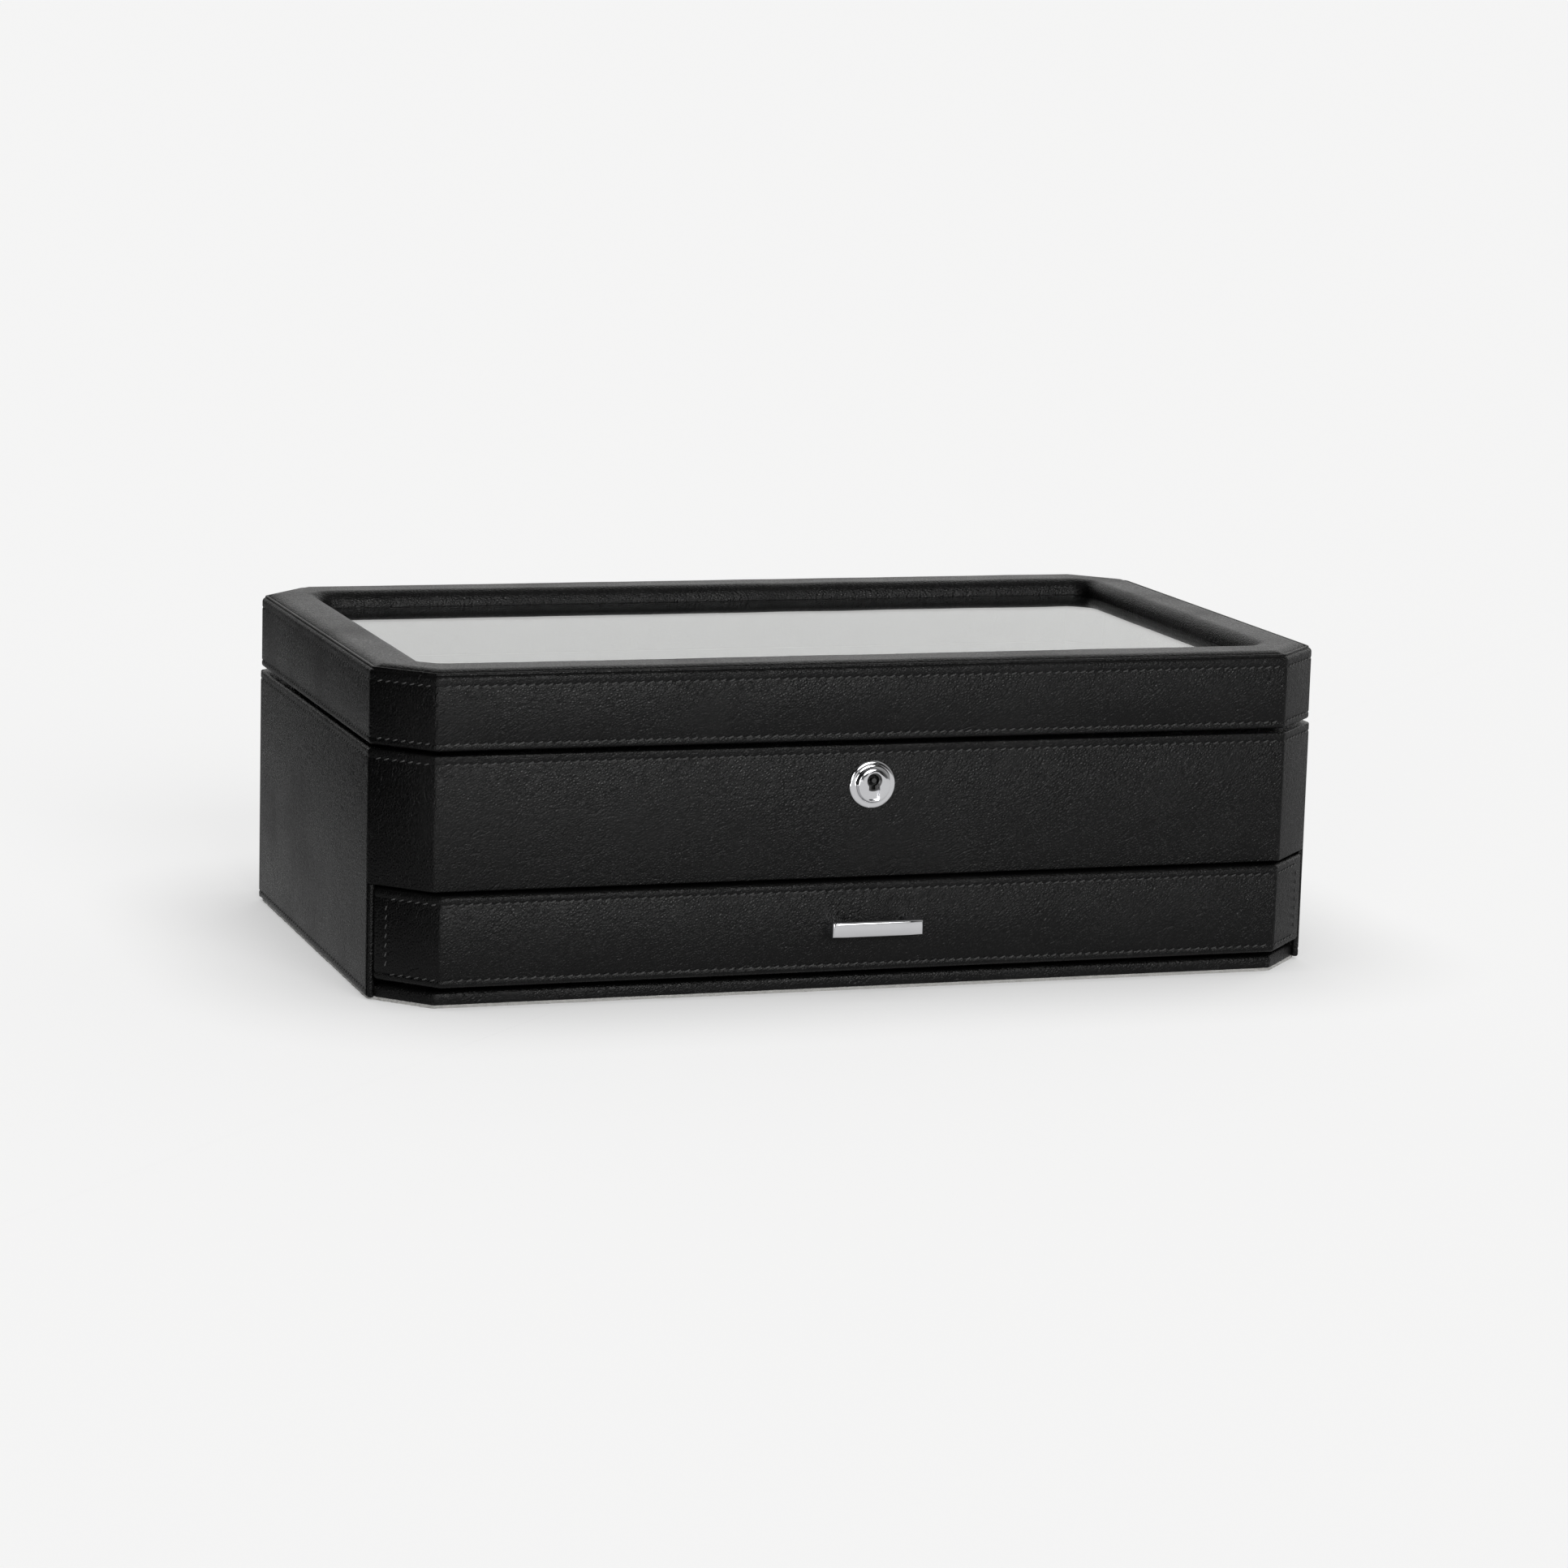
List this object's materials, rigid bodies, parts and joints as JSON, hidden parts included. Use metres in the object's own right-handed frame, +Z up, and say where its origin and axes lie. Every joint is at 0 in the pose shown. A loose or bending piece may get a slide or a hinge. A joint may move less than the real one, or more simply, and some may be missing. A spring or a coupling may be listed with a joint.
{
  "type": "watch box",
  "caption": "Leather-covered watch box with chamfered corners, a hinged glass lid over a cushioned tray, and a sliding drawer with a bar pull below.",
  "frame": {"origin": "centre of the flat underside, on the surface the box stands on", "axes": "+X to the right seen from the front, -Y out of the front (drawer and lock side), +Z up"},
  "size_m": [0.335, 0.2196, 0.112],
  "materials": {
    "black_leather": "pebbled faux leather, satin",
    "board": "raw fibreboard",
    "felt": "needle felt",
    "lining_cloth": "short suede nap",
    "cushion_cloth": "soft velour",
    "glass": "clear, polished",
    "polished_chrome": "mirror polish",
    "plated_steel": "nickel plated"
  },
  "bodies": {
    "case": {"underside_felt": "felt", "base_board": "board", "base_leather": "black_leather", "case_front_board": "board", "case_back_board": "board", "case_left_board": "board", "case_right_board": "board", "case_corner_blocks": "board", "case_front_leather": "black_leather", "case_left_leather": "black_leather", "case_right_leather": "black_leather", "case_back_leather": "black_leather", "tray_floor_board": "board", "tray_lining": "lining_cloth", "tray_long_divider": "lining_cloth", "tray_cross_dividers": "lining_cloth", "watch_cushion_1": "cushion_cloth", "watch_cushion_2": "cushion_cloth", "watch_cushion_3": "cushion_cloth", "watch_cushion_4": "cushion_cloth", "watch_cushion_5": "cushion_cloth", "watch_cushion_6": "cushion_cloth", "watch_cushion_7": "cushion_cloth", "watch_cushion_8": "cushion_cloth", "watch_cushion_9": "cushion_cloth", "watch_cushion_10": "cushion_cloth", "lock_barrel": "polished_chrome", "lock_nut": "plated_steel", "hinge_case_leaves": "plated_steel", "hinge_case_screws": "plated_steel", "hinge_pins": "plated_steel"},
    "lid": {"lid_front_board": "board", "lid_back_board": "board", "lid_left_board": "board", "lid_right_board": "board", "lid_corner_blocks": "board", "lid_top_frame": "board", "lid_leather_band": "black_leather", "lid_binding": "black_leather", "lid_top_pad": "black_leather", "glass_pane": "glass", "glass_retainer": "lining_cloth", "lid_wall_lining": "lining_cloth", "lock_strike": "plated_steel", "hinge_lid_leaves": "plated_steel", "lid_screws": "plated_steel"},
    "drawer": {"drawer_front_board": "board", "drawer_corner_blocks": "board", "drawer_front_leather": "black_leather", "drawer_left_side": "board", "drawer_right_side": "board", "drawer_back": "board", "drawer_bottom": "board", "drawer_lining": "lining_cloth", "drawer_dividers": "lining_cloth", "drawer_pull": "polished_chrome", "pull_screws": "plated_steel"},
    "lock_plug": {"lock_plug": "polished_chrome", "lock_cam": "plated_steel", "lock_cam_screw": "plated_steel"}
  },
  "joints": [
    {"name": "lid_hinge", "type": "hinge", "parent": "case", "child": "lid", "pos_m": [0, 0.1042, 0.08465], "axis": [-1, 0, 0], "range_deg": [0, 95]},
    {"name": "drawer_slide", "type": "slide", "parent": "case", "child": "drawer", "axis": [0, -1, 0], "range_m": [0, 0.14]},
    {"name": "lock_turn", "type": "hinge", "parent": "case", "child": "lock_plug", "pos_m": [0, -0.102, 0.0721], "axis": [0, 1, 0], "range_deg": [0, 90]}
  ]
}
